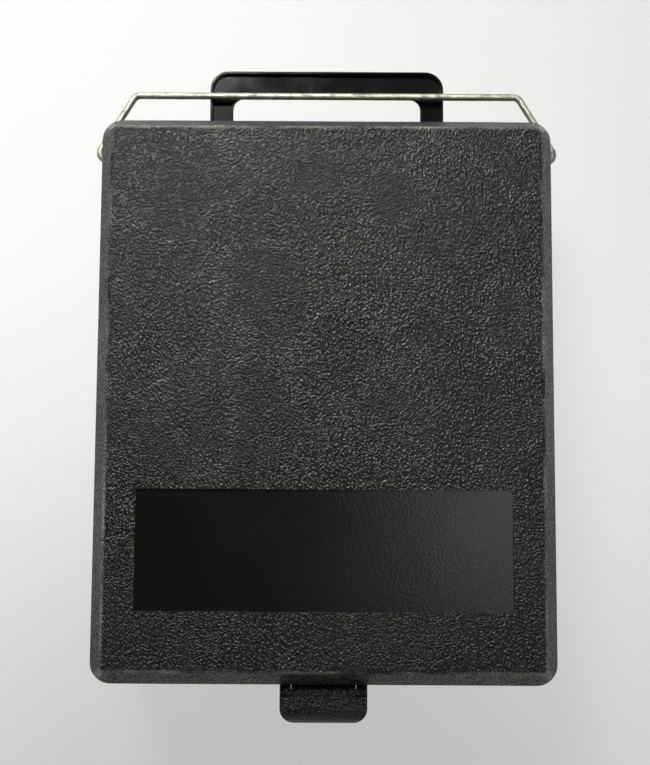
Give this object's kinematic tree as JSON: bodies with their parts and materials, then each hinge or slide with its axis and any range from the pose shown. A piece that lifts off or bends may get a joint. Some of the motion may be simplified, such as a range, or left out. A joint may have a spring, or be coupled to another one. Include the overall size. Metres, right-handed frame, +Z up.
{
  "type": "tube tester",
  "caption": "Portable valve tester in a black grained carrying case with hinged lid, latch, handle and wire bail; meter, sockets, selectors and switches inside.",
  "frame": {"origin": "middle of the base shell's flat underside, on the surface the case lies on", "axes": "+Z up through the lid, +Y toward the handle and hinges, +X to the right of a user at the latch"},
  "size_m": [0.2404, 0.3335, 0.099],
  "materials": {
    "grained_plastic": "leather-grained black moulding",
    "satin_plastic": "satin black moulding",
    "plated_steel": "dull zinc plate",
    "brass": "turned",
    "turned_aluminium": "turned",
    "panel_aluminium": "brushed and anodised",
    "black_phenolic": "moulded phenolic",
    "chrome": "bright plate",
    "dial_card": "printed card",
    "clear_glass": "clear",
    "needle_paint": "matt black",
    "magnet_iron": "bare iron",
    "ivory_plastic": "ivory moulding",
    "red_button": "red moulding",
    "black_button": "black moulding",
    "red_lens": "translucent red",
    "amber_lens": "translucent amber",
    "coil_wrap": "varnished paper",
    "board": "phenolic sheet",
    "capacitor_sleeve": "bare can",
    "resistor_body": "lacquered"
  },
  "bodies": {
    "base": {"bail_bushes": "brass", "base_shell": "grained_plastic", "button_bushes": "chrome", "button_switches": "black_phenolic", "capacitors": "capacitor_sleeve", "circuit_board": "board", "handle": "satin_plastic", "handle_plate": "plated_steel", "handle_screws": "plated_steel", "hinge_pins": "plated_steel", "inlet_pins": "brass", "lamp_holders": "chrome", "lamp_neon": "amber_lens", "lamp_pilot": "red_lens", "latch_keeper": "satin_plastic", "meter_case": "black_phenolic", "meter_dial": "dial_card", "meter_lens": "clear_glass", "meter_movement": "magnet_iron", "panel": "panel_aluminium", "panel_screws": "plated_steel", "pin_straighteners": "turned_aluminium", "power_inlet": "black_phenolic", "resistors": "resistor_body", "selector_nuts": "plated_steel", "selector_switches": "black_phenolic", "shaft_bushes": "brass", "slider_frames": "black_phenolic", "socket_loctal": "black_phenolic", "socket_miniature": "black_phenolic", "socket_noval": "black_phenolic", "socket_octal": "black_phenolic", "socket_twelve": "black_phenolic", "toggle_body": "black_phenolic", "transformer_bracket": "plated_steel", "transformer_coil": "coil_wrap", "transformer_core": "magnet_iron"},
    "lid": {"lid_shell": "grained_plastic", "latch_pin": "plated_steel"},
    "latch": {"latch": "grained_plastic"},
    "bail": {"bail": "plated_steel"},
    "selector_heater": {"knob_heater": "black_phenolic", "shaft_heater": "turned_aluminium"},
    "selector_bias": {"knob_bias": "black_phenolic", "shaft_bias": "turned_aluminium"},
    "selector_load": {"knob_load": "black_phenolic", "shaft_load": "turned_aluminium"},
    "selector_line": {"knob_line": "black_phenolic", "shaft_line": "turned_aluminium"},
    "pin_switch_1": {"slider_1": "ivory_plastic"},
    "pin_switch_2": {"slider_2": "ivory_plastic"},
    "pin_switch_3": {"slider_3": "ivory_plastic"},
    "pin_switch_4": {"slider_4": "ivory_plastic"},
    "pin_switch_5": {"slider_5": "ivory_plastic"},
    "pin_switch_6": {"slider_6": "ivory_plastic"},
    "test_button": {"button_test": "red_button"},
    "shorts_button": {"button_shorts": "black_button"},
    "power_lever": {"toggle_lever": "plated_steel"},
    "needle": {"meter_needle": "needle_paint"}
  },
  "joints": [
    {"name": "lid_hinge", "type": "hinge", "parent": "base", "child": "lid", "pos_m": [0, 0.1389, 0.074], "axis": [-1, 0, 0], "range_deg": [0, 100]},
    {"name": "latch_hinge", "type": "hinge", "parent": "lid", "child": "latch", "pos_m": [0, -0.1425, 0.0796], "axis": [-1, 0, 0], "range_deg": [0, 90]},
    {"name": "bail_hinge", "type": "hinge", "parent": "base", "child": "bail", "pos_m": [0, 0.1264, 0.0551], "axis": [1, 0, 0], "range_deg": [0, 20]},
    {"name": "turn_heater", "type": "hinge", "parent": "base", "child": "selector_heater", "pos_m": [-0.075, -0.01, 0.07], "axis": [0, 0, -1], "range_deg": [-150, 150]},
    {"name": "turn_bias", "type": "hinge", "parent": "base", "child": "selector_bias", "pos_m": [-0.025, -0.01, 0.07], "axis": [0, 0, -1], "range_deg": [-150, 150]},
    {"name": "turn_load", "type": "hinge", "parent": "base", "child": "selector_load", "pos_m": [0.025, -0.01, 0.07], "axis": [0, 0, -1], "range_deg": [-150, 150]},
    {"name": "turn_line", "type": "hinge", "parent": "base", "child": "selector_line", "pos_m": [0.075, -0.01, 0.07], "axis": [0, 0, -1], "range_deg": [-150, 150]},
    {"name": "slide_1", "type": "slide", "parent": "base", "child": "pin_switch_1", "axis": [0, 1, 0], "range_m": [-0.004, 0.004]},
    {"name": "slide_2", "type": "slide", "parent": "base", "child": "pin_switch_2", "axis": [0, 1, 0], "range_m": [-0.004, 0.004]},
    {"name": "slide_3", "type": "slide", "parent": "base", "child": "pin_switch_3", "axis": [0, 1, 0], "range_m": [-0.004, 0.004]},
    {"name": "slide_4", "type": "slide", "parent": "base", "child": "pin_switch_4", "axis": [0, 1, 0], "range_m": [-0.004, 0.004]},
    {"name": "slide_5", "type": "slide", "parent": "base", "child": "pin_switch_5", "axis": [0, 1, 0], "range_m": [-0.004, 0.004]},
    {"name": "slide_6", "type": "slide", "parent": "base", "child": "pin_switch_6", "axis": [0, 1, 0], "range_m": [-0.004, 0.004]},
    {"name": "press_test", "type": "slide", "parent": "base", "child": "test_button", "axis": [0, 0, -1], "range_m": [0, 0.003], "stiffness_N_per_m": 250, "springref_m": -0.002},
    {"name": "press_shorts", "type": "slide", "parent": "base", "child": "shorts_button", "axis": [0, 0, -1], "range_m": [0, 0.003], "stiffness_N_per_m": 250, "springref_m": -0.002},
    {"name": "power_throw", "type": "hinge", "parent": "base", "child": "power_lever", "pos_m": [-0.085, -0.104, 0.07], "axis": [-1, 0, 0], "range_deg": [0, 28]},
    {"name": "needle_swing", "type": "hinge", "parent": "base", "child": "needle", "pos_m": [-0.046, 0.058, 0.07], "axis": [0, 0, -1], "range_deg": [0, 90]}
  ]
}
